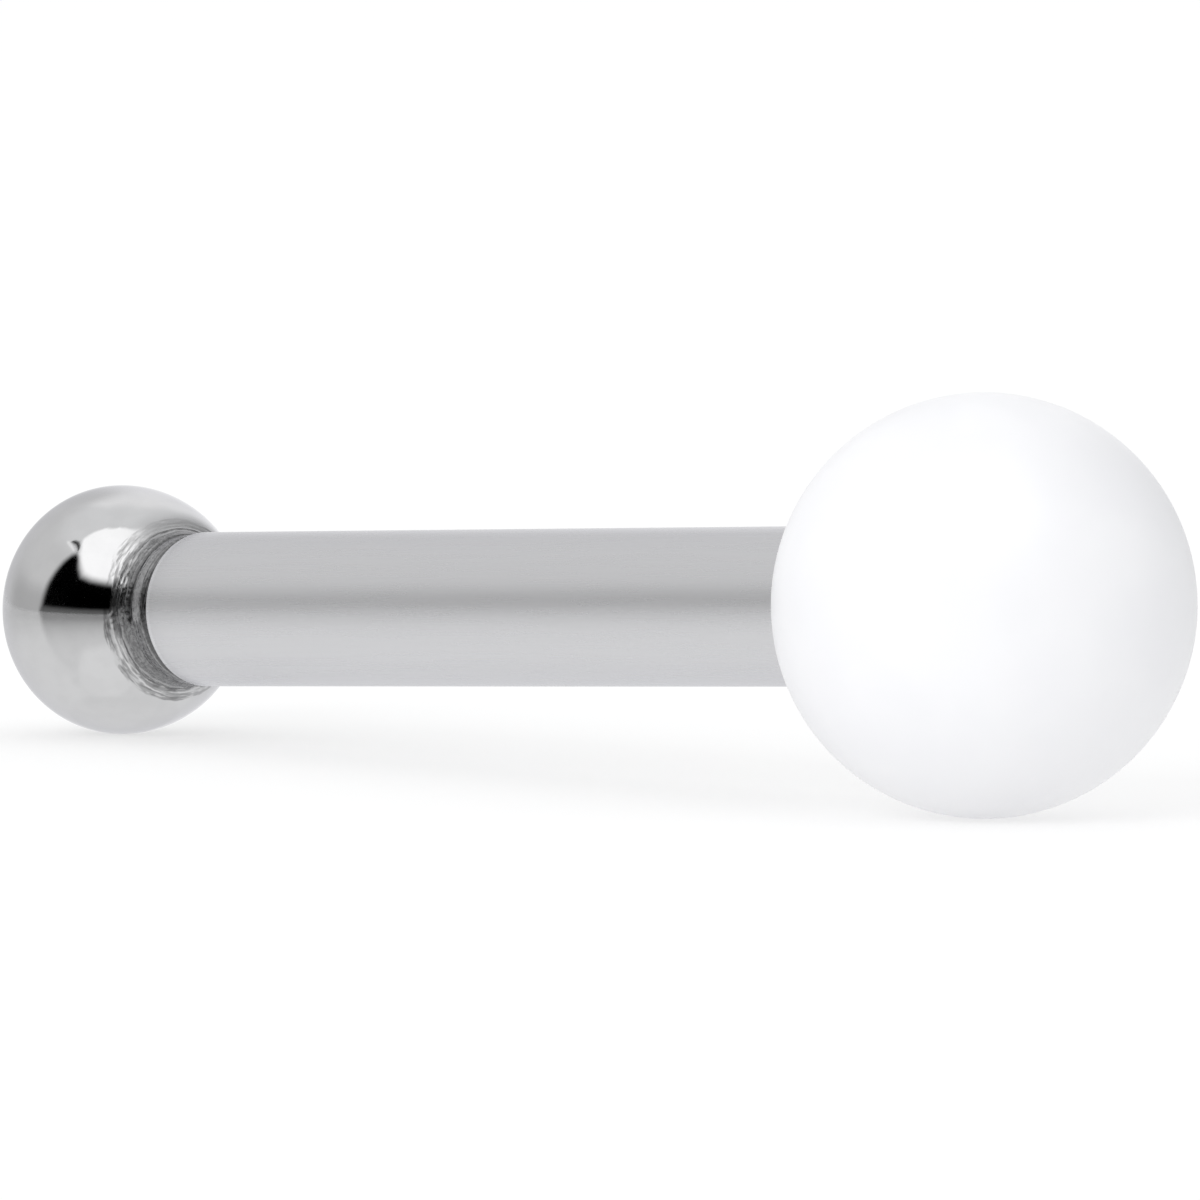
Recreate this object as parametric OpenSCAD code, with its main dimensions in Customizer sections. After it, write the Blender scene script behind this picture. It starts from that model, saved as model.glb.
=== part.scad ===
// Nose bone stud: a straight steel post with a small bone end at one tip and a white ball at the other.
// It lies as it comes to rest by itself, on the floor at z = 0, with its two ends touching the floor.
// Its post runs along X and rises a little towards the white ball, which is the larger end.

/* [Post] */
// Diameter of the straight post, which is 20 gauge wire
post_d = 0.8; // [0.7:0.05:0.9]
// Length from the underside of the white ball to the far tip of the bone end
wear_l = 6.5; // [5:0.25:9]
// How far the post's hidden end runs past the middle of the white ball
end_past = 0.25; // [0.1:0.05:0.4]
// Chamfer on the post's hidden end
end_chamfer = 0.06; // [0.02:0.01:0.1]

/* [Bone end] */
// Diameter of the bone end, which is a ball with a slightly flattened tip
bone_d = 1.3; // [1.2:0.05:1.5]
// Distance from the middle of the bone end to its flattened tip
bone_tip_l = 0.575; // [0.56:0.005:0.59]
// Radius of the curve that leads from the bone end's fullest part to the flattened tip
bone_side_r = 0.52; // [0.5:0.01:0.54]

/* [Neck] */
// Distance from the middle of the bone end to the shoulder where the smooth post starts
shoulder_at = 0.72; // [0.65:0.005:0.75]
// Depth of the neck below the post's surface
neck_step = 0.012; // [0.005:0.001:0.025]
// Radius of the hollow curve that runs from the neck up onto the bone end
neck_fillet = 0.15; // [0.1:0.01:0.18]
// Number of grooves turned around the neck and the foot of the bone end
groove_count = 3; // [1:1:3]
// Distance from the first groove to the second, along the post
groove_pitch = 0.1165; // [0.1:0.0005:0.12]
// Width of the cutter for the first groove, the one under the shoulder
groove_w = 0.062; // [0.04:0.002:0.07]
// Size and distance of each further groove, as a share of the one before
groove_shrink = 0.6; // [0.5:0.05:0.6]

/* [White ball] */
// Diameter of the white ball
ball_d = 2.1; // [1.8:0.1:3]
// Glue gap all round the post in the ball's blind hole
glue_gap = 0.02; // [0.01:0.01:0.05]
// Room between the post's end and the bottom of the hole
hole_room = 0.05; // [0.02:0.01:0.1]

/* [Hidden] */
$fn = 96;

post_r = post_d / 2;
ball_r = ball_d / 2;
bone_r = bone_d / 2;
neck_r = post_r - neck_step;
groove_r = groove_w / 2;

// Towards the tip, the bone end's outline is two arcs that run smoothly into each other.
// The side arc is centred off the axis, and the tip's flatter arc on the axis past the middle.
side_centre_r = bone_r - bone_side_r;
tip_r = (pow(bone_tip_l, 2) + pow(side_centre_r, 2) - pow(bone_side_r, 2)) / (2 * (bone_tip_l - bone_side_r));
tip_centre = tip_r - bone_tip_l;
arcs_meet_r = tip_r * side_centre_r / (tip_r - bone_side_r);

// The hollow curve touches both the bone end and the neck.
fillet_centre_r = neck_r + neck_fillet;
fillet_at = sqrt(pow(bone_r + neck_fillet, 2) - pow(fillet_centre_r, 2));
fillet_start = fillet_at * bone_r / (bone_r + neck_fillet);

// Along the post from the middle of the bone end
ball_at = wear_l + ball_r - bone_tip_l;
end_at = ball_at + end_past;

// Lying on the floor, the post rises by the angle that lets both ends touch it.
rest_tilt = asin((ball_r - bone_r) / ball_at);
bone_reach = tip_r - tip_centre * cos(rest_tilt);
middle_x = (ball_at * cos(rest_tilt) + ball_r - bone_reach) / 2;

// Puts what is built along Z, from the middle of the bone end, where the stud lies.
module at_rest() {
    translate([-middle_x, 0, bone_r])
        rotate([0, 90 - rest_tilt, 0])
            children();
}

// Half outline of the bone end: a quarter circle towards the neck, and the two arcs towards the tip
module bone_outline() {
    intersection() {
        circle(bone_r);
        square([bone_r, bone_r]);
    }
    intersection() {
        translate([0, tip_centre]) circle(tip_r);
        translate([0, -bone_tip_l]) square([arcs_meet_r, bone_tip_l]);
    }
    intersection() {
        translate([side_centre_r, 0]) circle(bone_side_r);
        translate([0, -bone_tip_l]) square([bone_r, bone_tip_l]);
    }
}

// Half outline of the neck, which runs up onto the bone end in a hollow curve
module neck_outline() {
    square([neck_r, shoulder_at]);
    difference() {
        polygon([
            [0, 0],
            [fillet_centre_r, fillet_at],
            [0, fillet_at]
        ]);
        translate([fillet_centre_r, fillet_at]) circle(neck_fillet);
    }
}

// Half outline of the post, with the chamfer of its hidden end
module post_outline() {
    polygon([
        [0, shoulder_at],
        [post_r, shoulder_at],
        [post_r, end_at - end_chamfer],
        [post_r - end_chamfer, end_at],
        [0, end_at]
    ]);
}

// Radius of the bone end's foot, of the hollow curve, or of the neck
function foot_r(at) =
    at < fillet_start ? sqrt(pow(bone_r, 2) - pow(at, 2))
    : at < fillet_at ? fillet_centre_r - sqrt(pow(neck_fillet, 2) - pow(fillet_at - at, 2))
    : neck_r;

// Where the groove with number i lies along the post. The first one, number 0, is right under the shoulder.
function groove_at(i) =
    i == 0 ? shoulder_at - groove_r
    : groove_at(i - 1) - groove_pitch * pow(groove_shrink, i - 1);

// Half outlines of the cutters for the turned grooves, each sunk by half its radius
module groove_outlines() {
    for (i = [0 : groove_count - 1]) {
        cutter_r = groove_r * pow(groove_shrink, i);
        translate([foot_r(groove_at(i)) + cutter_r / 2, groove_at(i)]) circle(cutter_r);
    }
}

// The turned steel piece: bone end, neck, post and hidden end in one
module bone_post() {
    color("silver")
        at_rest()
            rotate_extrude()
                union() {
                    difference() {
                        union() {
                            bone_outline();
                            neck_outline();
                        }
                        groove_outlines();
                    }
                    post_outline();
                }
}

// The white ball with its blind hole for the post
module acrylic_ball() {
    hole_l = ball_r + end_past + hole_room;
    color("white")
        at_rest()
            translate([0, 0, ball_at])
                difference() {
                    sphere(ball_r);
                    translate([0, 0, -ball_r])
                        cylinder(h = hole_l, r = post_r + glue_gap);
                }
}

bone_post();
acrylic_ball();
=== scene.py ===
import math
from types import SimpleNamespace

import bpy
from mathutils import Matrix, Vector, noise


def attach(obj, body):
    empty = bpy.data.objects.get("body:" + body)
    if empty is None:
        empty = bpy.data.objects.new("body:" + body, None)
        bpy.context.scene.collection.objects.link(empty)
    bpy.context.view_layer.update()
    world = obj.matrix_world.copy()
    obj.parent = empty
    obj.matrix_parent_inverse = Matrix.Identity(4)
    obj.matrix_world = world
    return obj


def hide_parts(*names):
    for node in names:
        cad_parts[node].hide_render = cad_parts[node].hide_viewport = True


# A nose bone stud, lying as it comes to rest by itself: a steel post with a small bone end and a ball.
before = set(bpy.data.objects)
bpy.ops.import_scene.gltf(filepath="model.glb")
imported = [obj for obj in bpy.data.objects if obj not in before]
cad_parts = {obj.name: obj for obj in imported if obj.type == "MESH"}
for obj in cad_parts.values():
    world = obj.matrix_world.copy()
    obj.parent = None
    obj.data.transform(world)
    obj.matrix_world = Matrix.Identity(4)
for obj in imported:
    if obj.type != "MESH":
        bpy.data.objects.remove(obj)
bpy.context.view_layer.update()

MM = 0.001

# Sizes, the same as the solids', in millimetres
POST_R = 0.4
WEAR_L = 6.5
END_PAST = 0.25
END_CHAMFER = 0.06
BONE_R = 0.65
BONE_TIP_L = 0.575
BONE_SIDE_R = 0.52
SHOULDER_AT = 0.72
NECK_STEP = 0.012
NECK_FILLET = 0.15
GROOVE_COUNT = 3
GROOVE_PITCH = 0.1165
GROOVE_W = 0.062
GROOVE_SHRINK = 0.6
BALL_R = 1.05
GLUE_GAP = 0.02
HOLE_ROOM = 0.05

# Radii of two rounded edges that the solids leave sharp
SHOULDER_EDGE = 0.007
MOUTH_EDGE = 0.018

NECK_R = POST_R - NECK_STEP
GROOVE_R = GROOVE_W / 2
HOLE_R = POST_R + GLUE_GAP
BALL_AT = WEAR_L + BALL_R - BONE_TIP_L
END_AT = BALL_AT + END_PAST
REST_TILT = math.asin((BALL_R - BONE_R) / BALL_AT)

# The bone end's tip is two arcs that run smoothly into each other.
SIDE_CENTRE_R = BONE_R - BONE_SIDE_R
TIP_R = (BONE_TIP_L ** 2 + SIDE_CENTRE_R ** 2 - BONE_SIDE_R ** 2) / (2 * (BONE_TIP_L - BONE_SIDE_R))
TIP_CENTRE = TIP_R - BONE_TIP_L
ARCS_MEET_R = TIP_R * SIDE_CENTRE_R / (TIP_R - BONE_SIDE_R)
BONE_REACH = TIP_R - TIP_CENTRE * math.cos(REST_TILT)
MIDDLE_X = (BALL_AT * math.cos(REST_TILT) + BALL_R - BONE_REACH) / 2

# The stud's own directions: along the post, up across it, and to its side
AXIS = Vector((math.cos(REST_TILT), 0, math.sin(REST_TILT)))
UP = Vector((-math.sin(REST_TILT), 0, math.cos(REST_TILT)))
SIDE = Vector((0, 1, 0))
BONE_CENTRE = Vector((-MIDDLE_X, 0, BONE_R))

# How finely the pieces are turned. The neck has close rows of points from NECK_START to NECK_STOP.
STEEL_SEGMENTS = 384
BALL_SEGMENTS = 192
NECK_START = 0.42
NECK_STOP = SHOULDER_AT - 0.001
NECK_ROWS = 112
SAME_POINT = 0.00001
ON_SHARP_EDGE = 0.0001


def ease(low, high, value):
    """0 below low, 1 above high, and a smooth rise between them."""
    t = min(max((value - low) / (high - low), 0), 1)
    return t * t * (3 - 2 * t)


def hill(value, start, full, still_full, stop):
    """0 before start and after stop, 1 from full to still_full, and smooth in between."""
    return ease(start, full, value) * (1 - ease(still_full, stop, value))


def add(name, data):
    """A new object with this data, in the scene."""
    made = bpy.data.objects.new(name, data)
    bpy.context.collection.objects.link(made)
    return made


# Turned shapes: an outline of points (along the post, away from its axis), turned round the axis

def arc(centre, radius, start, stop, count):
    """Points of an arc in the outline's plane, with angles in degrees.

    0 is straight away from the axis, and 90 is towards the white ball.
    """
    points = []
    for i in range(count + 1):
        angle = math.radians(start + (stop - start) * i / count)
        points.append((centre[0] + radius * math.sin(angle), centre[1] + radius * math.cos(angle)))
    return points


def line(start, stop, count):
    """Points of a straight line, of two values or more each, with both its ends."""
    return [tuple(a + (b - a) * i / count for a, b in zip(start, stop)) for i in range(count + 1)]


def joined(*parts):
    """The parts in a row, without the points that repeat where two parts meet."""
    points = []
    for part in parts:
        for point in part:
            if not points or math.dist(points[-1], point) > SAME_POINT:
                points.append(point)
    return points


def outward(outline, i):
    """Direction across the outline at point i, away from the metal."""
    a = outline[max(i - 1, 0)]
    b = outline[min(i + 1, len(outline) - 1)]
    along, away = b[0] - a[0], b[1] - a[1]
    length = math.hypot(along, away)
    return -away / length, along / length


def turned(name, outline, segments, relief=None, sharp=()):
    """A closed piece: the outline, which starts and ends on the axis, turned round it.

    relief(along, turn) is how far the surface is raised. The edges at the points in sharp stay sharp.
    """
    verts, faces = [], []
    rings = outline[1:-1]

    def place(along, away, turn):
        across = math.cos(turn) * UP + math.sin(turn) * SIDE
        return (BONE_CENTRE + along * AXIS + away * across) * MM

    verts.append(place(outline[0][0], 0, 0))
    for i, (along, away) in enumerate(rings, 1):
        out_along, out_away = outward(outline, i)
        for k in range(segments):
            turn = 2 * math.pi * k / segments
            rise = relief(along, turn) if relief else 0
            verts.append(place(along + rise * out_along, away + rise * out_away, turn))
    verts.append(place(outline[-1][0], 0, 0))
    last = len(verts) - 1

    for k in range(segments):
        j = (k + 1) % segments
        faces.append((0, 1 + k, 1 + j))
        for i in range(len(rings) - 1):
            a, b = 1 + i * segments, 1 + (i + 1) * segments
            faces.append((a + k, b + k, b + j, a + j))
        a = 1 + (len(rings) - 1) * segments
        faces.append((a + k, last, a + j))

    mesh = bpy.data.meshes.new(name)
    mesh.from_pydata(verts, [], faces)
    mesh.polygons.foreach_set("use_smooth", [True] * len(mesh.polygons))
    edge_marks = mesh.attributes.new("sharp_edge", "BOOLEAN", "EDGE")
    sharp_rings = {
        i for i, point in enumerate(rings)
        if any(math.dist(point, s) < ON_SHARP_EDGE for s in sharp)
    }
    for edge in mesh.edges:
        a, b = edge.vertices
        if 0 < a < last and 0 < b < last and (a - 1) // segments == (b - 1) // segments:
            edge_marks.data[edge.index].value = (a - 1) // segments in sharp_rings
    mesh.validate()
    return add(name, mesh)


# The steel piece

def foot_r(along):
    """Radius of the neck, of the bone end's foot, or of the hollow curve between them."""
    fillet_r = NECK_R + NECK_FILLET
    fillet_at = math.sqrt((BONE_R + NECK_FILLET) ** 2 - fillet_r ** 2)
    fillet_start = fillet_at * BONE_R / (BONE_R + NECK_FILLET)
    if along < fillet_start:
        return math.sqrt(BONE_R ** 2 - along ** 2)
    if along < fillet_at:
        return fillet_r - math.sqrt(NECK_FILLET ** 2 - (fillet_at - along) ** 2)
    return NECK_R


def groove_places():
    """Each groove's place along the post, and its radius. Each is smaller and nearer to the one before."""
    at, size = SHOULDER_AT - GROOVE_R, 1.0
    places = []
    for _ in range(GROOVE_COUNT):
        places.append((at, GROOVE_R * size))
        at -= GROOVE_PITCH * size
        size *= GROOVE_SHRINK
    return places


GROOVES = groove_places()


def groove_cut(along, radius):
    """The radius that the turned grooves leave."""
    for at, groove_r in GROOVES:
        reach = groove_r ** 2 - (along - at) ** 2
        if reach > 0:
            radius = min(radius, foot_r(at) + groove_r / 2 - math.sqrt(reach))
    return radius


def neck_outline():
    """The hollow curve from the bone end down to the neck, and the neck with its grooves."""
    points = []
    for i in range(NECK_ROWS + 1):
        along = NECK_START + (NECK_STOP - NECK_START) * i / NECK_ROWS
        points.append((along, groove_cut(along, foot_r(along))))
    return points


def steel_outline():
    """The whole steel piece, from the bone end's tip to the middle of the post's hidden end."""
    tip_angle = math.degrees(math.asin(ARCS_MEET_R / TIP_R))
    side_angle = tip_angle - 90
    neck_angle = math.degrees(math.asin(NECK_START / BONE_R))
    tip = arc((TIP_CENTRE, 0), TIP_R, -90, side_angle, count=16)
    side = arc((0, SIDE_CENTRE_R), BONE_SIDE_R, side_angle, 0, count=14)
    flank = arc((0, 0), BONE_R, 0, neck_angle, count=30)
    shoulder = arc((SHOULDER_AT + SHOULDER_EDGE, POST_R - SHOULDER_EDGE), SHOULDER_EDGE, -90, 0, count=4)
    post = line((SHOULDER_AT + SHOULDER_EDGE, POST_R), (END_AT - END_CHAMFER, POST_R), count=24)
    end = [(END_AT, POST_R - END_CHAMFER), (END_AT, 0)]
    return joined(tip, side, flank, neck_outline(), shoulder, post, end)


# Marks on the neck. Lengths are in millimetres, and places round the turn in degrees.

# The fringe is where the tool marks run out on the bone end. Its edge wanders and frays: how far, in how
# many waves round the turn, and where in the noise. The marks rise from just before the edge to just after.
FRINGE_AT = 0.452
WANDER = (0.012, 1.7, 7.1)
FRAY = (0.016, 8, 3.7)
BEFORE_EDGE = 0.006
AFTER_EDGE = 0.01

# The fringe starts further in on one stretch of the turn: its middle, half width, softness, and how far in
DENT_AT = -78
DENT_HALF = 16
DENT_SOFT = 7
DENT_IN = 0.032

# Turned ridges: height, waves round the turn, width along the post, and where in the noise. All of them lie
# lower by RIDGE_DROP, and they run out over RIDGES_STOP before the shoulder.
RIDGES = ((0.0017, 2.6, 0.012, 0), (0.002, 5, 0.008, 40), (0.0009, 26, 0.012, 80))
RIDGE_DROP = 0.0008
RIDGES_STOP = 0.01

# The marks are weak about one turn, the top of the neck: below are that turn, the turns off it from which
# and to which they come back on both sides, and WIPED_HEIGHT, the share of their height left there. About
# the same turn a painted shade lies on the bone end's fringe.
WIPED_AND_SHADED_AT = 0
WIPED_AND_SHADED_FROM = 16
WIPED_AND_SHADED_TO = 48
WIPED_HEIGHT = 0.2

# The land between the first two grooves, its soft sides, and how much lower its ridges are, as a share.
# Then how far along the post the second and the third groove count.
LAND = (0.594, 0.65)
LAND_SOFT = 0.01
LAND_SMOOTH = 0.7
SECOND_GROOVE_TO = 0.63
THIRD_GROOVE_TO = 0.53

# Stretches of the turn where the land is torn away: middle and half width
TORN = ((-129, 33), (52, 27))
TORN_SOFT = 3
TORN_DEPTH = 0.005
# Along the post the torn land starts to be lower, is at its full depth, leaves it, and is level again
TORN_LOWER = (0.56, 0.58, 0.645, 0.66)

# The third groove is filled in patches: waves round the turn, where in the noise, and the noise's span from
# bare to filled
PATCHES = (2.5, 11.3)
PATCH_SPAN = (-0.4, 0.3)


def degrees_off(turn, middle):
    """How far a turn in radians is from the middle, in degrees."""
    return abs((math.degrees(turn) - middle + 180) % 360 - 180)


def ring_noise(turn, waves, at):
    """Noise round the axis, finer with more waves. Its other direction is at."""
    return noise.noise(Vector((waves * math.cos(turn), waves * math.sin(turn), at)))


def torn(turn):
    """1 where the land and the groove beside it are torn away, and 0 elsewhere."""
    return max(
        1 - ease(half - TORN_SOFT, half + TORN_SOFT, degrees_off(turn, middle))
        for middle, half in TORN
    )


def torn_relief(along, turn):
    """How much the torn stretches raise the turned surface.

    The second groove is filled there and the land is lowered. The third groove is filled in patches.
    """
    plain = foot_r(along)
    depth = plain - groove_cut(along, plain)
    lowered = TORN_DEPTH * hill(along, *TORN_LOWER)
    if along < THIRD_GROOVE_TO:
        return depth * ease(*PATCH_SPAN, ring_noise(turn, *PATCHES))
    if along < SECOND_GROOVE_TO:
        return torn(turn) * (depth - lowered)
    return -torn(turn) * lowered


def tool_marks(along, turn):
    """Height of the neck's rough surface over the turned one, which starts at the fringe's ragged edge."""
    edge = sum((size * ring_noise(turn, waves, at) for size, waves, at in (WANDER, FRAY)), FRINGE_AT)
    edge += DENT_IN * (1 - ease(DENT_HALF - DENT_SOFT, DENT_HALF + DENT_SOFT, degrees_off(turn, DENT_AT)))
    inside = hill(along, edge - BEFORE_EDGE, edge + AFTER_EDGE, SHOULDER_AT - RIDGES_STOP, SHOULDER_AT)
    if inside == 0:
        return 0
    height = sum(high * ring_noise(turn, waves, along / width + at) for high, waves, width, at in RIDGES)
    height -= RIDGE_DROP
    height *= WIPED_HEIGHT + (1 - WIPED_HEIGHT) * ease(WIPED_AND_SHADED_FROM, WIPED_AND_SHADED_TO, degrees_off(turn, WIPED_AND_SHADED_AT))
    on_land = hill(along, LAND[0], LAND[0] + LAND_SOFT, LAND[1] - LAND_SOFT, LAND[1])
    smoother = 1 - LAND_SMOOTH * on_land * (1 - torn(turn))
    return inside * smoother * height + torn_relief(along, turn)


# Materials

def make(tree, kind, inputs=None, **settings):
    """A new node. Each input is given a value or another node's output, and each setting its choice."""
    made = tree.nodes.new(kind)
    for key, value in settings.items():
        setattr(made, key, value)
    for key, value in (inputs or {}).items():
        if isinstance(value, bpy.types.NodeSocket):
            tree.links.new(value, made.inputs[key])
        else:
            made.inputs[key].default_value = value
    return made


def calc(tree, operation, *values):
    return make(tree, "ShaderNodeMath", dict(enumerate(values)), operation=operation).outputs[0]


def fade(tree, value, low, high, to_low=0.0, to_high=1.0):
    """A smooth change from to_low, where value is low, to to_high, where it is high."""
    return make(tree, "ShaderNodeMapRange", {
        "Value": value, "From Min": low, "From Max": high, "To Min": to_low, "To Max": to_high,
    }, interpolation_type="SMOOTHSTEP").outputs[0]


def band(tree, value, start, stop, soft):
    """1 between start and stop, and 0 outside, with soft edges."""
    rise = fade(tree, value, start - soft, start + soft)
    return calc(tree, "SUBTRACT", rise, fade(tree, value, stop - soft, stop + soft))


def turn_band(tree, turn, middle, half, soft):
    """1 on a stretch of the turn, given by its middle and half width in degrees. Soft is in radians."""
    return band(tree, turn, math.radians(middle - half), math.radians(middle + half), soft)


def distance(tree, value, middle):
    """How far a value is from the middle, to either side."""
    return calc(tree, "ABSOLUTE", calc(tree, "SUBTRACT", value, middle))


def mixed(tree, factor, a, b):
    return make(tree, "ShaderNodeMix", {0: factor, 2: a, 3: b}, data_type="FLOAT").outputs[0]


def mixed_colour(tree, factor, a, b):
    return make(tree, "ShaderNodeMix", {0: factor, 6: a, 7: b}, data_type="RGBA").outputs[2]


def bump(tree, height, depth):
    return make(tree, "ShaderNodeBump", {"Height": height, "Strength": 1.0, "Distance": depth}).outputs[0]


def vector_calc(tree, operation, inputs):
    return make(tree, "ShaderNodeVectorMath", inputs, operation=operation)


def stud_place(tree):
    """The point, in millimetres from the bone end's centre: along the post, to its side, and up across."""
    here = make(tree, "ShaderNodeTexCoord").outputs["Object"]
    from_bone = vector_calc(tree, "SUBTRACT", {0: here, 1: BONE_CENTRE * MM}).outputs[0]
    scaled = vector_calc(tree, "SCALE", {0: from_bone, 3: 1 / MM}).outputs[0]
    return [vector_calc(tree, "DOT_PRODUCT", {0: scaled, 1: way}).outputs[1] for way in (AXIS, SIDE, UP)]


def grain(tree, place, scales, detail):
    """Noise about 0.5, with its own scale along the post and across it."""
    parts = [calc(tree, "MULTIPLY", value, scale) for value, scale in zip(place, scales)]
    at = make(tree, "ShaderNodeCombineXYZ", dict(enumerate(parts))).outputs[0]
    return make(tree, "ShaderNodeTexNoise", {"Vector": at, "Scale": 1.0, "Detail": detail}).outputs[0]


def new_material(name):
    material = bpy.data.materials.new(name)
    material.use_nodes = True
    tree = material.node_tree
    return material, tree, tree.nodes["Principled BSDF"]


def grey(level, blue=0.0):
    return (level, level, level + blue, 1)


# Grains: scales along the post, to its side and up across it, and detail
MOTTLE = ((9, 9, 9), 3)
RINGS = ((95, 6, 6), 3)
BROKEN_RINGS = ((120, 14, 14), 2)
SPECKLE = ((70, 55, 55), 2)
DRAWN = ((1.2, 45, 45), 3)
FINE = ((60, 60, 60), 2)
WAVER = ((30, 14, 14), 3)
CLOUD = ((1.6, 1.6, 1.6), 2)
ORANGE_PEEL = ((14, 14, 14), 2)

# Spans of a grain, about or just off its middle, over which a look changes
GRAIN_MIDDLE = 0.5
WIDEST_SPAN = (0.3, 0.7)
WIDE_SPAN = (0.35, 0.65)
SPECKLE_SPAN = (0.38, 0.62)
LAND_SPAN = (0.4, 0.6)
BREAK_SPAN = (0.42, 0.52)
SCRATCH_SPAN = (0.46, 0.56)
RING_SPAN = (0.5, 0.6)

# Greys of the steel, each with how much more blue it has. Where there are two, a grain goes between them.
POLISHED = (grey(0.6, 0.005), grey(0.62, 0.005))
SCRATCHED = grey(0.34, 0.004)
# Painted shade on the top of the bone end's fringe
TOP_SHADE_GREY = grey(0.42, 0.004)
FRINGE_LINE_GREY = grey(0.16, 0.002)
# The neck's turned steel: partly its own darker tone, partly a painted shade of the neck
NECK_GREYS = (grey(0.18, 0.003), grey(0.28, 0.003))
RING_GREY = grey(0.15, 0.002)
LIP_GREY = grey(0.36, 0.004)
LAND_GREYS = (grey(0.31, 0.004), grey(0.42, 0.004))
# Painted shade that darkens the grooves
GROOVE_SHADE_GREY = grey(0.07, 0.002)
WIRE_GREYS = (grey(0.65, 0.012), grey(0.66, 0.012))
# A painted highlight along the shoulder's rim
RIM_HIGHLIGHT_GREY = grey(0.74, 0.015)
STEEL_TINT = (0.85, 0.85, 0.87, 1)

# Roughness of the steel's stretches
POLISHED_ROUGH = (0.045, 0.07)
FRINGE_ROUGH = 0.17
SCRATCH_ROUGH = 0.24
# The next is the roughness under the painted shade on the fringe's top
TOP_SHADE_ROUGH = 0.3
NECK_ROUGH = (0.24, 0.34)
SATIN_ROUGH = (0.27, 0.285)

# Where one stretch gives way to the next, in millimetres along the post
FRINGE_SOFT = 0.014
RAGGED = 0.03
NECK_BODY = (0.485, 0.515)
# How far before and after the fringe the painted shade on its top reaches
TOP_SHADE_BEFORE = 0.07
TOP_SHADE_AFTER = 0.03
POST_SOFT = 0.001
# The band of the painted highlight on the post by the shoulder: its width and its soft sides
RIM_W = 0.03
RIM_SOFT = 0.008

# How softly the torn stretches end, in radians, and how much of the marks is left about the top of the neck;
# the rest of it there is painted shade
TORN_TURN_SOFT = 0.05
WIPED_AND_SHADED_LEFT = 0.25

# Lines round the neck waver along the post, and their sides are soft. The lip is one of them, and so is the
# torn land's edge, which partly has the land's greys.
LINE_WAVER = 0.04
LINE_SOFT = 0.004
LIP = (0.508, 0.52)
TORN_EDGE = (0.648, 0.662)
TORN_EDGE_SOFT = 0.005
TORN_EDGE_SHARE = 0.7

# Worn lines in the fringe: place, half width, strength, and the grain that breaks them up. Each is whole on
# the middle part of its width, and where it is broken the least of it is left.
FRINGE_LINES = (
    (0.458, 0.014, 0.5, ((40, 9, 9), 3)),
    (0.494, 0.018, 0.75, ((40, 10, 10), 3)),
)
FRINGE_LINE_CORE = 0.3
FRINGE_LINE_LEAST = 0.1

# How dark the neck's rings get, how dark the painted shade in the grooves gets, and the shares of a groove's
# radius where that shade fades out
RING_DARK = 0.5
GROOVE_SHADE = 0.6
GROOVE_FADE = (0.6, 0.95)

# Depth of each material's bump in metres, and the shares of the grains in the steel's
STEEL_BUMP = 0.0000008
ACRYLIC_BUMP = 0.000001
SPECKLE_BUMP = 0.5
MOTTLE_BUMP = 0.25
DRAWN_BUMP = 0.04
FINE_BUMP = 0.03

# White acrylic: its colours, roughness and shine, how much light enters it, and how far, in metres
ACRYLIC_WHITES = ((0.806, 0.806, 0.824, 1), (0.826, 0.826, 0.841, 1))
ACRYLIC_ROUGH = (0.34, 0.42)
ACRYLIC_SHINE = 0.35
ACRYLIC_ENTERS = 0.3
ACRYLIC_REACH = 0.0003


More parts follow.
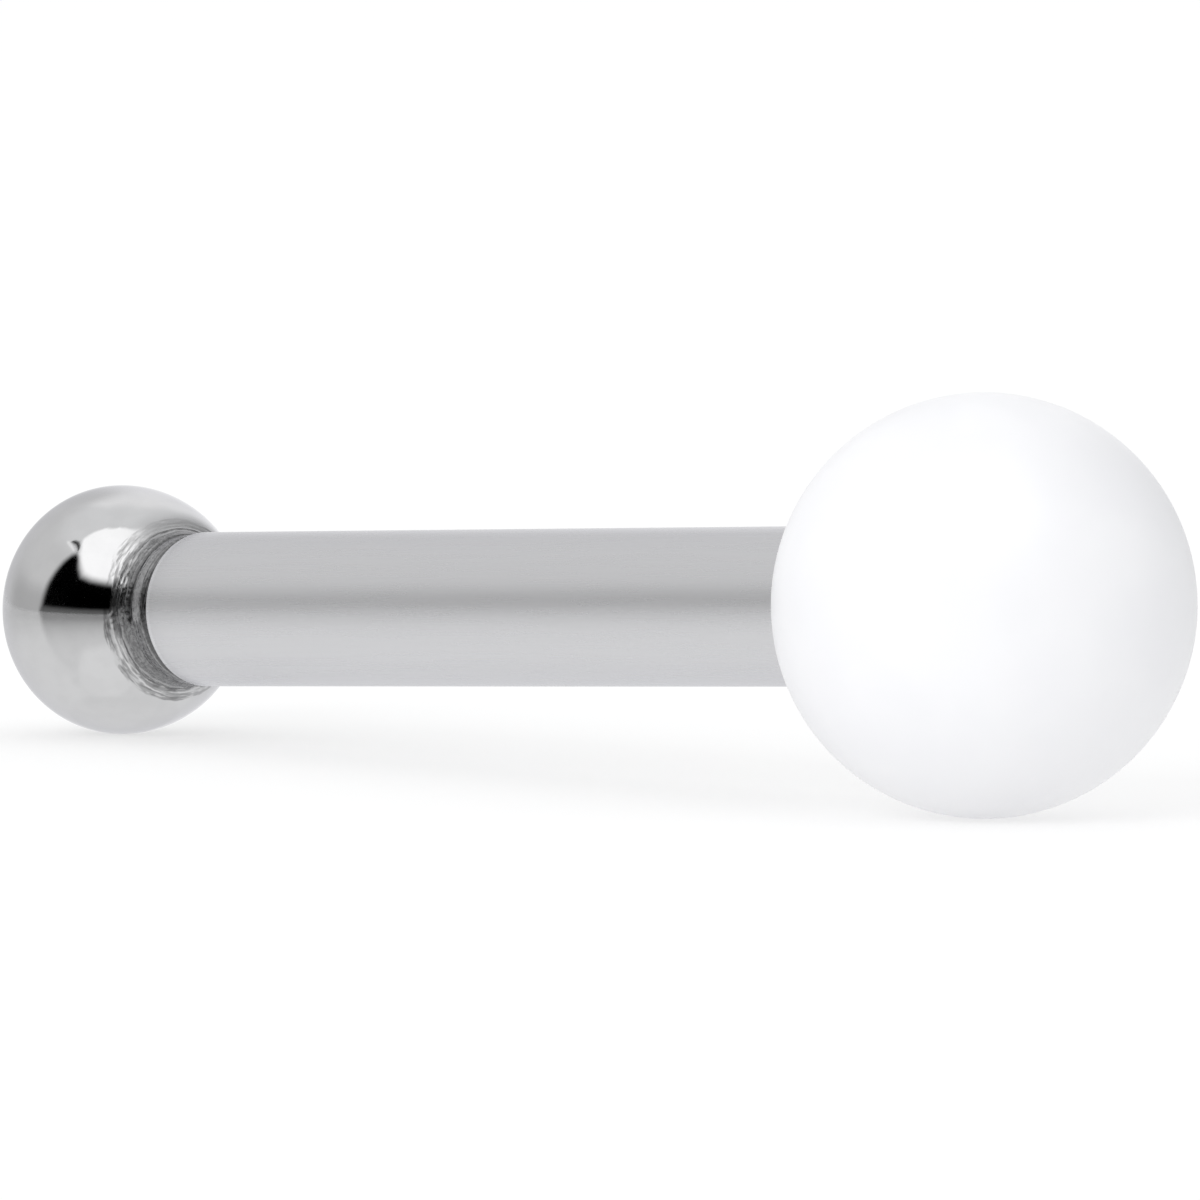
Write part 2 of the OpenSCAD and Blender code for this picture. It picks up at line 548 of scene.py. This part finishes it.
def steel_parts(tree):
    """What the steel's looks are made from: its grains, and how much a point is on each stretch of it."""
    place = stud_place(tree)
    along = place[0]
    turn = calc(tree, "ARCTAN2", place[1], place[2])
    broken_rings = grain(tree, place, *BROKEN_RINGS)

    ragged = calc(tree, "MULTIPLY", calc(tree, "SUBTRACT", broken_rings, GRAIN_MIDDLE), RAGGED)
    dent = turn_band(tree, turn, DENT_AT, DENT_HALF, math.radians(DENT_SOFT))
    neck_from = calc(tree, "ADD", along, ragged)
    neck_from = calc(tree, "SUBTRACT", neck_from, calc(tree, "MULTIPLY", dent, DENT_IN))
    on_fringe = fade(tree, neck_from, FRINGE_AT - FRINGE_SOFT, FRINGE_AT)

    # About the top of the neck the marks are kept weaker, and what is taken from them there becomes painted
    # shade
    off_wiped = distance(tree, turn, math.radians(WIPED_AND_SHADED_AT))
    kept = fade(tree, off_wiped, math.radians(WIPED_AND_SHADED_FROM), math.radians(WIPED_AND_SHADED_TO), WIPED_AND_SHADED_LEFT, 1.0)
    top_share = calc(tree, "SUBTRACT", 1.0, kept)
    scratches = fade(tree, grain(tree, place, *RINGS), *SCRATCH_SPAN)
    scratches = calc(tree, "MULTIPLY", calc(tree, "MULTIPLY", on_fringe, scratches), kept)
    by_fringe = fade(tree, along, FRINGE_AT - TOP_SHADE_BEFORE, FRINGE_AT + TOP_SHADE_AFTER)

    is_torn = 0.0
    for middle, half in TORN:
        is_torn = calc(tree, "MAXIMUM", is_torn, turn_band(tree, turn, middle, half, TORN_TURN_SOFT))
    whole = calc(tree, "SUBTRACT", 1.0, is_torn)

    waver = calc(tree, "SUBTRACT", grain(tree, place, *WAVER), GRAIN_MIDDLE)
    return SimpleNamespace(
        place=place,
        along=along,
        line_at=calc(tree, "ADD", along, calc(tree, "MULTIPLY", waver, LINE_WAVER)),
        mottle=grain(tree, place, *MOTTLE),
        broken_rings=broken_rings,
        speckle=grain(tree, place, *SPECKLE),
        drawn=grain(tree, place, *DRAWN),
        fine=grain(tree, place, *FINE),
        on_fringe=on_fringe,
        kept=kept,
        scratches=scratches,
        # Painted shade on the top of the fringe
        top_shade=calc(tree, "MULTIPLY", top_share, by_fringe),
        on_body=fade(tree, neck_from, *NECK_BODY),
        is_torn=is_torn,
        whole=whole,
        on_land=calc(tree, "MULTIPLY", band(tree, along, *LAND, LINE_SOFT), whole),
        on_post=fade(tree, along, SHOULDER_AT - POST_SOFT, SHOULDER_AT + POST_SOFT),
        # Where the painted highlight at the shoulder's rim lies
        on_rim=band(tree, along, SHOULDER_AT, SHOULDER_AT + RIM_W, RIM_SOFT),
    )


def steel_roughness(tree, steel):
    polished = fade(tree, steel.mottle, *WIDEST_SPAN, *POLISHED_ROUGH)
    neck = fade(tree, steel.speckle, *WIDEST_SPAN, *NECK_ROUGH)
    satin = fade(tree, steel.drawn, *WIDEST_SPAN, *SATIN_ROUGH)
    bone_end = mixed(tree, steel.on_fringe, polished, FRINGE_ROUGH)
    bone_end = mixed(tree, steel.scratches, bone_end, SCRATCH_ROUGH)
    bone_end = mixed(tree, steel.top_shade, bone_end, TOP_SHADE_ROUGH)
    return mixed(tree, steel.on_post, mixed(tree, steel.on_body, bone_end, neck), satin)


def bone_end_colour(tree, steel):
    """Polish, with scratches, a painted shade on its top and worn lines in its fringe."""
    colour = mixed_colour(tree, fade(tree, steel.mottle, *WIDE_SPAN), *POLISHED)
    colour = mixed_colour(tree, steel.scratches, colour, SCRATCHED)
    # Painted shade on the top of the fringe
    colour = mixed_colour(tree, steel.top_shade, colour, TOP_SHADE_GREY)
    for at, half, strength, breaks in FRINGE_LINES:
        broken = fade(tree, grain(tree, steel.place, *breaks), *BREAK_SPAN, FRINGE_LINE_LEAST, strength)
        off = distance(tree, steel.line_at, at)
        on_line = calc(tree, "MULTIPLY", fade(tree, off, FRINGE_LINE_CORE * half, half, 1.0, 0.0), broken)
        on_line = calc(tree, "MULTIPLY", on_line, steel.kept)
        colour = mixed_colour(tree, on_line, colour, FRINGE_LINE_GREY)
    return colour


def neck_colour(tree, steel):
    """Dark turned steel, partly painted shade, with a paler lip and land, and grooves made nearly black by
    painted shade.
    """
    colour = mixed_colour(tree, fade(tree, steel.speckle, *SPECKLE_SPAN), *NECK_GREYS)
    on_rings = calc(tree, "MULTIPLY", fade(tree, steel.broken_rings, *RING_SPAN), RING_DARK)
    colour = mixed_colour(tree, on_rings, colour, RING_GREY)
    colour = mixed_colour(tree, band(tree, steel.line_at, *LIP, LINE_SOFT), colour, LIP_GREY)
    land = mixed_colour(tree, fade(tree, steel.speckle, *LAND_SPAN), *LAND_GREYS)
    colour = mixed_colour(tree, steel.on_land, colour, land)
    torn_edge = band(tree, steel.line_at, *TORN_EDGE, TORN_EDGE_SOFT)
    torn_edge = calc(tree, "MULTIPLY", torn_edge, steel.is_torn)
    colour = mixed_colour(tree, calc(tree, "MULTIPLY", torn_edge, TORN_EDGE_SHARE), colour, land)

    # Painted shade in the grooves, darkest along their middles. The second groove is gone where the land is
    # torn, and the third one is broken up.
    left_of_groove = {1: steel.whole, 2: fade(tree, steel.broken_rings, *BREAK_SPAN)}
    for i, (at, groove_r) in enumerate(GROOVES):
        fade_from, fade_to = (share * groove_r for share in GROOVE_FADE)
        in_groove = fade(tree, distance(tree, steel.along, at), fade_from, fade_to, GROOVE_SHADE, 0.0)
        if i in left_of_groove:
            in_groove = calc(tree, "MULTIPLY", in_groove, left_of_groove[i])
        colour = mixed_colour(tree, in_groove, colour, GROOVE_SHADE_GREY)
    return colour


def post_colour(tree, steel):
    """Satin wire, with a painted highlight at the rim of its shoulder."""
    wire = mixed_colour(tree, fade(tree, steel.drawn, *WIDE_SPAN), *WIRE_GREYS)
    # Painted highlight at the shoulder's rim
    return mixed_colour(tree, steel.on_rim, wire, RIM_HIGHLIGHT_GREY)


def steel_relief(tree, steel):
    marks = calc(tree, "ADD", steel.broken_rings, calc(tree, "MULTIPLY", steel.speckle, SPECKLE_BUMP))
    smooth = calc(tree, "MULTIPLY", steel.mottle, MOTTLE_BUMP)
    on_marks = calc(tree, "MULTIPLY", steel.on_fringe, steel.kept)
    satin = calc(tree, "MULTIPLY", steel.drawn, DRAWN_BUMP)
    relief = mixed(tree, steel.on_post, mixed(tree, on_marks, smooth, marks), satin)
    return calc(tree, "ADD", relief, calc(tree, "MULTIPLY", steel.fine, FINE_BUMP))


def steel_material():
    """Polished bone end, roughly turned neck and satin post, told apart by the place along the post."""
    material, tree, shader = new_material("turned_steel")
    steel = steel_parts(tree)
    colour = mixed_colour(tree, steel.on_body, bone_end_colour(tree, steel), neck_colour(tree, steel))
    colour = mixed_colour(tree, steel.on_post, colour, post_colour(tree, steel))
    tree.links.new(colour, shader.inputs["Base Color"])
    tree.links.new(steel_roughness(tree, steel), shader.inputs["Roughness"])
    tree.links.new(bump(tree, steel_relief(tree, steel), STEEL_BUMP), shader.inputs["Normal"])
    shader.inputs["Metallic"].default_value = 1.0
    shader.inputs["Specular Tint"].default_value = STEEL_TINT
    return material


def acrylic_material():
    """Smooth white acrylic: light enters it a little, and its surface has a soft even sheen."""
    material, tree, shader = new_material("white_acrylic")
    place = stud_place(tree)
    cloud = grain(tree, place, *CLOUD)
    orange_peel = grain(tree, place, *ORANGE_PEEL)
    colour = mixed_colour(tree, fade(tree, cloud, *WIDE_SPAN), *ACRYLIC_WHITES)
    roughness = fade(tree, orange_peel, *WIDEST_SPAN, *ACRYLIC_ROUGH)
    tree.links.new(colour, shader.inputs["Base Color"])
    tree.links.new(roughness, shader.inputs["Roughness"])
    tree.links.new(bump(tree, orange_peel, ACRYLIC_BUMP), shader.inputs["Normal"])
    shader.inputs["Specular IOR Level"].default_value = ACRYLIC_SHINE
    shader.inputs["Subsurface Weight"].default_value = ACRYLIC_ENTERS
    shader.inputs["Subsurface Radius"].default_value = (1.0, 1.0, 1.0)
    shader.inputs["Subsurface Scale"].default_value = ACRYLIC_REACH
    return material


# The two pieces

def steel_piece():
    sharp = [
        (SHOULDER_AT, POST_R - SHOULDER_EDGE),
        (END_AT - END_CHAMFER, POST_R),
        (END_AT, POST_R - END_CHAMFER),
    ]
    piece = turned("bone_post_steel", steel_outline(), STEEL_SEGMENTS, tool_marks, sharp)
    piece.data.materials.append(steel_material())
    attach(piece, "root")
    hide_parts("bone_post")


def ball_outline():
    """The white ball, from its far side round to the hole's mouth, then in along the hole to its bottom.

    The mouth's rounded edge touches the ball's surface and the hole's wall.
    """
    edge_away = HOLE_R + MOUTH_EDGE
    edge_along = BALL_AT - math.sqrt((BALL_R - MOUTH_EDGE) ** 2 - edge_away ** 2)
    touch = math.degrees(math.asin((edge_along - BALL_AT) / (BALL_R - MOUTH_EDGE)))
    outside = arc((BALL_AT, 0), BALL_R, 90, touch, count=92)
    mouth = arc((edge_along, edge_away), MOUTH_EDGE, touch, -180, count=8)
    wall = line((edge_along, HOLE_R), (END_AT + HOLE_ROOM, HOLE_R), count=8)
    return joined(outside, mouth, wall, [(END_AT + HOLE_ROOM, 0)])


def ball_piece():
    hole_corner = (END_AT + HOLE_ROOM, HOLE_R)
    piece = turned("acrylic_ball_white", ball_outline(), BALL_SEGMENTS, None, [hole_corner])
    piece.data.materials.append(acrylic_material())
    # This outline runs the other way than the steel's, so its faces are turned over.
    piece.data.flip_normals()
    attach(piece, "root")
    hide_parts("acrylic_ball")


# The studio. Its sheets are laid out from the photograph's camera, and stay in place in every other view.

# Camera, as in the photograph: its turn and height about the stud in degrees, its distance, aim, lens and
# sensor in millimetres, and how near and how far it sees in metres
CAMERA_TURN = 50.96
CAMERA_HEIGHT = 3.99
CAMERA_DISTANCE = 91.48
AIM = Vector((0, 0, 1.0))
AIM_RIGHT = 0.153
AIM_UP = -0.098
LENS = 542.4
SENSOR = 36
CLIP_NEAR = 0.01
CLIP_FAR = 10

# Distances of the sheets from the bone end, in millimetres. A nearer sheet hides a farther one.
CARD_DISTANCE = {
    "back_glow": 150, "grey_wall": 140, "wall_foot": 132, "grey_side": 118, "dark_flag": 108,
    "dark_side": 92, "floor_haze": 86, "soft_box": 80, "clamp": 66, "clamp_glint": 64,
}

# Where the backdrops start, a little below the floor, and the size of their faces, in degrees
BACKDROP_FOOT = -4
BACKDROP_STEP = 3

# Points on each side of a card and on each step of a strip, and how much of a strip fades out at each end
CARD_POINTS = 12
STRIP_POINTS = 8
STRIP_END = 0.2

# The table's half width in metres, and its glossy coat
TABLE_REACH = 0.8
COAT_ROUGH = 0.1
COAT_IOR = 1.6

SKY_COLOUR = (0.99, 0.995, 1.0, 1)
SKY_STRENGTH = 0.96

# The key light's direction, its size and distance in millimetres, and its power
KEY_WAY = (-30, 26)
KEY_SIZE = 300
KEY_DISTANCE = 500
KEY_POWER = 0.76


def picture_way(azimuth, elevation):
    """A direction from the stud, from two angles in degrees.

    Azimuth 0 is the way back to the photograph's camera, and positive is to the picture's right.
    """
    turn = math.radians(CAMERA_TURN)
    back = Vector((math.sin(turn), -math.cos(turn), 0))
    right = Vector((math.cos(turn), math.sin(turn), 0))
    a, e = math.radians(azimuth), math.radians(elevation)
    return math.cos(e) * (math.cos(a) * back + math.sin(a) * right) + math.sin(e) * Vector((0, 0, 1))


def glowing(name, ways, cover, faces, brightness):
    """A sheet that shows in reflections alone, clear where cover is 0 and at full brightness at 1."""
    mesh = bpy.data.meshes.new(name)
    mesh.from_pydata([(BONE_CENTRE + way * CARD_DISTANCE[name]) * MM for way in ways], [], faces)
    mesh.attributes.new("cover", "FLOAT", "POINT").data.foreach_set("value", cover)

    material = bpy.data.materials.new(name)
    material.use_nodes = True
    tree = material.node_tree
    tree.nodes.clear()
    how_much = make(tree, "ShaderNodeAttribute", attribute_name="cover").outputs["Fac"]
    glow = make(tree, "ShaderNodeEmission", {"Strength": brightness}).outputs[0]
    clear = make(tree, "ShaderNodeBsdfTransparent").outputs[0]
    both = make(tree, "ShaderNodeMixShader", {0: fade(tree, how_much, 0, 1), 1: clear, 2: glow}).outputs[0]
    make(tree, "ShaderNodeOutputMaterial", {"Surface": both})
    mesh.materials.append(material)

    made = add(name, mesh)
    made.visible_camera = False
    made.visible_diffuse = False
    made.visible_shadow = False


def card(name, corners, centre, brightness):
    """A card with straight sides and soft edges.

    Each corner is two directions, (azimuth, elevation) of where it starts to show and of where it is full.
    """
    rim, inner = [], []
    for a, b in zip(corners, corners[1:] + corners[:1]):
        for point in line(a, b, CARD_POINTS)[:-1]:
            rim.append(picture_way(*point[:2]))
            inner.append(picture_way(*point[2:]))
    count = len(rim)
    faces = []
    for k in range(count):
        j = (k + 1) % count
        faces.append((k, j, count + j, count + k))
        faces.append((count + k, count + j, 2 * count))
    ways = rim + inner + [picture_way(*centre)]
    glowing(name, ways, [0.0] * count + [1.0] * (count + 1), faces, brightness)


def strip(name, spine, brightness):
    """A narrow card along points of (azimuth, elevation, half width), soft at both sides and both ends."""
    points = joined(*(line(a, b, STRIP_POINTS) for a, b in zip(spine, spine[1:])))
    ways, cover, faces = [], [], []
    for i, (azimuth, elevation, half) in enumerate(points):
        share = i / (len(points) - 1)
        across = min(ease(0, STRIP_END, share), ease(0, STRIP_END, 1 - share))
        for side, level in ((-1, 0.0), (0, across), (1, 0.0)):
            ways.append(picture_way(azimuth, elevation + side * half))
            cover.append(level)
        if i:
            for a in (3 * i - 3, 3 * i - 2):
                faces.append((a, a + 1, a + 4, a + 3))
    glowing(name, ways, cover, faces, brightness)


def backdrop(name, sides, side_fades, top, top_fade, brightness):
    """A curved backdrop from below the floor up to top, which fades out at its sides and at its top."""
    columns = round((sides[1] - sides[0]) / BACKDROP_STEP)
    rows = round((top - BACKDROP_FOOT) / BACKDROP_STEP)
    ways, cover, faces = [], [], []
    for i in range(columns + 1):
        azimuth = sides[0] + (sides[1] - sides[0]) * i / columns
        across = min(ease(0, side_fades[0], azimuth - sides[0]), ease(0, side_fades[1], sides[1] - azimuth))
        for k in range(rows + 1):
            elevation = BACKDROP_FOOT + (top - BACKDROP_FOOT) * k / rows
            ways.append(picture_way(azimuth, elevation))
            cover.append(across * ease(0, top_fade, top - elevation))
            if i < columns and k < rows:
                a = i * (rows + 1) + k
                faces.append((a, a + 1, a + rows + 2, a + rows + 1))
    glowing(name, ways, cover, faces, brightness)


def studio_cards():
    """What the steel mirrors: a soft box, a dark flag with its clamp, and grey and dark walls."""
    card("soft_box", [
        (-79, 62, -70, 61), (-67, 54, -60, 56), (-59, 46, -52, 50), (-51, 35.5, -44, 43),
        (-44, 28, -38, 38), (-30, 25, -30, 35.5), (-10, 23, -10, 34), (20, 27, 20, 36),
        (80, 76, 68, 76), (40, 87, 34, 82), (-20, 88, -20, 84), (-78, 82, -66, 77), (-81, 70, -71, 69),
    ], (-20, 55), 1.52)
    card("dark_flag", [
        (-84, -4, -76.5, -4), (-82.5, 8, -74.5, 8), (-81, 20, -72.5, 20), (-78.5, 30, -70, 30),
        (-76, 40, -67, 38), (-72, 48.5, -64, 43.5), (-65, 53, -61, 46), (-57, 51, -57, 45),
        (-46, 46, -46, 41), (-30, 42, -30, 37), (-8, 40, -8, 35), (15, 38, 11, 33), (15, -4, 11, -4),
    ], (-38, 17), 0.0)
    strip("clamp", [(-88, 53.5, 1.5), (-82, 55, 3), (-75, 55.8, 3.5), (-68, 54.5, 3), (-60, 50, 2.5)], 0.02)
    strip("clamp_glint", [(-94, 51.5, 1.6), (-84, 51.6, 2), (-75, 51, 1.7), (-66, 49, 1.3)], 1.2)
    card("grey_side", [
        (60, -4, 76, -4), (172, -4, 156, -4), (166, 14, 150, 10), (158, 32, 143, 22),
        (147, 48, 132, 33), (132, 62, 120, 46), (100, 74, 98, 58), (60, 74, 76, 58),
    ], (100, 34), 0.42)
    backdrop("dark_side", sides=(8, 75), side_fades=(12, 12), top=26, top_fade=5, brightness=0.0)
    backdrop("floor_haze", sides=(-84, 75), side_fades=(8, 8), top=5.5, top_fade=5.5, brightness=0.17)
    backdrop("back_glow", sides=(140, 214), side_fades=(25, 20), top=78, top_fade=30, brightness=1.14)
    backdrop("grey_wall", sides=(-190, -50), side_fades=(25, 25), top=64, top_fade=30, brightness=0.82)
    backdrop("wall_foot", sides=(-155, -50), side_fades=(45, 20), top=26, top_fade=22, brightness=0.6)


def table(name, white, gloss, glow, **seen):
    """A sheet of the pale floor: how white it is, how glossy, how much it glows, and what it is seen by."""
    reach = TABLE_REACH
    mesh = bpy.data.meshes.new(name)
    corners = [(-reach, -reach, 0), (reach, -reach, 0), (reach, reach, 0), (-reach, reach, 0)]
    mesh.from_pydata(corners, [], [(0, 1, 2, 3)])
    material, _, shader = new_material(name)
    shader.inputs["Base Color"].default_value = grey(white)
    shader.inputs["Specular IOR Level"].default_value = 0.0
    shader.inputs["Coat Weight"].default_value = gloss
    shader.inputs["Coat Roughness"].default_value = COAT_ROUGH
    shader.inputs["Coat IOR"].default_value = COAT_IOR
    shader.inputs["Emission Color"].default_value = (1, 1, 1, 1)
    shader.inputs["Emission Strength"].default_value = glow
    mesh.materials.append(material)
    made = add(name, mesh)
    for key, value in seen.items():
        setattr(made, key, value)


def studio():
    # The matt sheet shows in the picture, and the glossy one only in the steel.
    table("table_matt", white=0.43, gloss=0.0, glow=0.56, visible_glossy=False)
    table(
        "table_gloss", white=0.98, gloss=1.0, glow=0.03,
        visible_camera=False, visible_diffuse=False, visible_shadow=False,
    )
    studio_cards()

    world = bpy.data.worlds.new("studio")
    world.use_nodes = True
    world.node_tree.nodes["Background"].inputs["Color"].default_value = SKY_COLOUR
    world.node_tree.nodes["Background"].inputs["Strength"].default_value = SKY_STRENGTH
    bpy.context.scene.world = world

    key = add("key", bpy.data.lights.new("key", "AREA"))
    key.data.shape = "DISK"
    key.data.size = KEY_SIZE * MM
    key.data.energy = KEY_POWER
    way = picture_way(*KEY_WAY)
    key.location = way * KEY_DISTANCE * MM
    key.rotation_mode = "QUATERNION"
    key.rotation_quaternion = way.to_track_quat("Z", "Y")
    key.visible_glossy = False


def camera():
    turn, height = math.radians(CAMERA_TURN), math.radians(CAMERA_HEIGHT)
    ahead = Vector((
        -math.sin(turn) * math.cos(height),
        math.cos(turn) * math.cos(height),
        -math.sin(height),
    ))
    right = Vector((math.cos(turn), math.sin(turn), 0))
    up = right.cross(ahead)
    made = add("camera", bpy.data.cameras.new("camera"))
    made.location = (AIM + AIM_RIGHT * right + AIM_UP * up - CAMERA_DISTANCE * ahead) * MM
    made.rotation_mode = "QUATERNION"
    made.rotation_quaternion = Matrix((right, up, -ahead)).transposed().to_quaternion()
    made.data.lens = LENS
    made.data.sensor_width = SENSOR
    made.data.clip_start = CLIP_NEAR
    made.data.clip_end = CLIP_FAR
    bpy.context.scene.camera = made


steel_piece()
ball_piece()
studio()
camera()
bpy.context.scene.view_settings.view_transform = "Standard"
